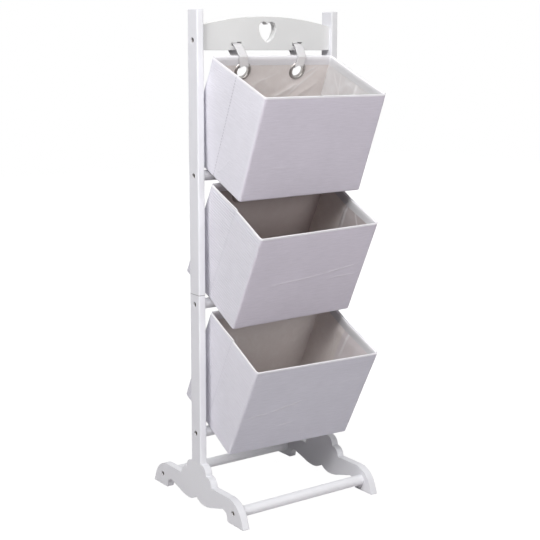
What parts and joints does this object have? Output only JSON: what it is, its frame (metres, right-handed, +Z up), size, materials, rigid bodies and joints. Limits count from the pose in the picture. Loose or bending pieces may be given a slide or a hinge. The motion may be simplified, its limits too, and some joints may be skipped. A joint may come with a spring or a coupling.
{
  "type": "basket storage rack",
  "caption": "Slim white wooden stand with a heart cut-out in its top rail and tilted fabric bins that hang by webbing loops and rest on round rods.",
  "frame": {"origin": "on the floor, in the middle of the whole rack's width and of its depth from the top bin's front rim to the feet's back ends", "axes": "+X to the right as seen from the front, +Y to the back, +Z up"},
  "size_m": [0.35, 0.3834, 1.02],
  "materials": {
    "painted_wood": "smooth satin white paint",
    "bare_wood": "bare beech",
    "screw_steel": "nickel plated",
    "bin_fabric": "plain fine weave, off white",
    "bin_hem": "plain fine weave, white",
    "bin_lining": "thin lining with a slight sheen, greige",
    "card": "grey board",
    "nickel": "bright nickel",
    "webbing": "flat woven webbing, white"
  },
  "bodies": {
    "frame": {"left_foot": "painted_wood", "right_foot": "painted_wood", "front_foot_rod": "painted_wood", "back_foot_rod": "painted_wood", "foot_rod_screws": "screw_steel", "left_lower_post": "painted_wood", "right_lower_post": "painted_wood", "foot_post_screws": "screw_steel", "post_studs": "screw_steel", "left_upper_post": "painted_wood", "right_upper_post": "painted_wood", "top_rail": "painted_wood", "rail_pins": "bare_wood", "rail_screws": "screw_steel", "upper_cross_rod": "painted_wood", "middle_cross_rod": "painted_wood", "lower_cross_rod": "painted_wood", "cross_rod_screws": "screw_steel"},
    "top_bin": {"top_bin_cover": "bin_fabric", "top_bin_liner": "bin_lining", "top_bin_hem": "bin_hem", "top_bin_back_board": "card", "top_bin_front_board": "card", "top_bin_side_boards": "card", "top_bin_base_board": "card", "top_bin_eyelets": "nickel", "top_bin_washers": "nickel", "top_bin_left_strap": "webbing", "top_bin_right_strap": "webbing"},
    "middle_bin": {"middle_bin_cover": "bin_fabric", "middle_bin_liner": "bin_lining", "middle_bin_hem": "bin_hem", "middle_bin_back_board": "card", "middle_bin_front_board": "card", "middle_bin_side_boards": "card", "middle_bin_base_board": "card", "middle_bin_eyelets": "nickel", "middle_bin_washers": "nickel", "middle_bin_left_strap": "webbing", "middle_bin_right_strap": "webbing"},
    "lower_bin": {"lower_bin_cover": "bin_fabric", "lower_bin_liner": "bin_lining", "lower_bin_hem": "bin_hem", "lower_bin_back_board": "card", "lower_bin_front_board": "card", "lower_bin_side_boards": "card", "lower_bin_base_board": "card", "lower_bin_eyelets": "nickel", "lower_bin_washers": "nickel", "lower_bin_left_strap": "webbing", "lower_bin_right_strap": "webbing"}
  },
  "joints": [
    {"name": "top_bin_swing", "type": "hinge", "parent": "frame", "child": "top_bin", "pos_m": [0, 0.01671, 0.945], "axis": [-1, 0, 0], "range_deg": [0, 42]},
    {"name": "middle_bin_swing", "type": "hinge", "parent": "frame", "child": "middle_bin", "pos_m": [0, 0.01671, 0.69317], "axis": [-1, 0, 0], "range_deg": [0, 8]},
    {"name": "lower_bin_swing", "type": "hinge", "parent": "frame", "child": "lower_bin", "pos_m": [0, 0.01671, 0.42983], "axis": [-1, 0, 0], "range_deg": [0, 12]}
  ]
}
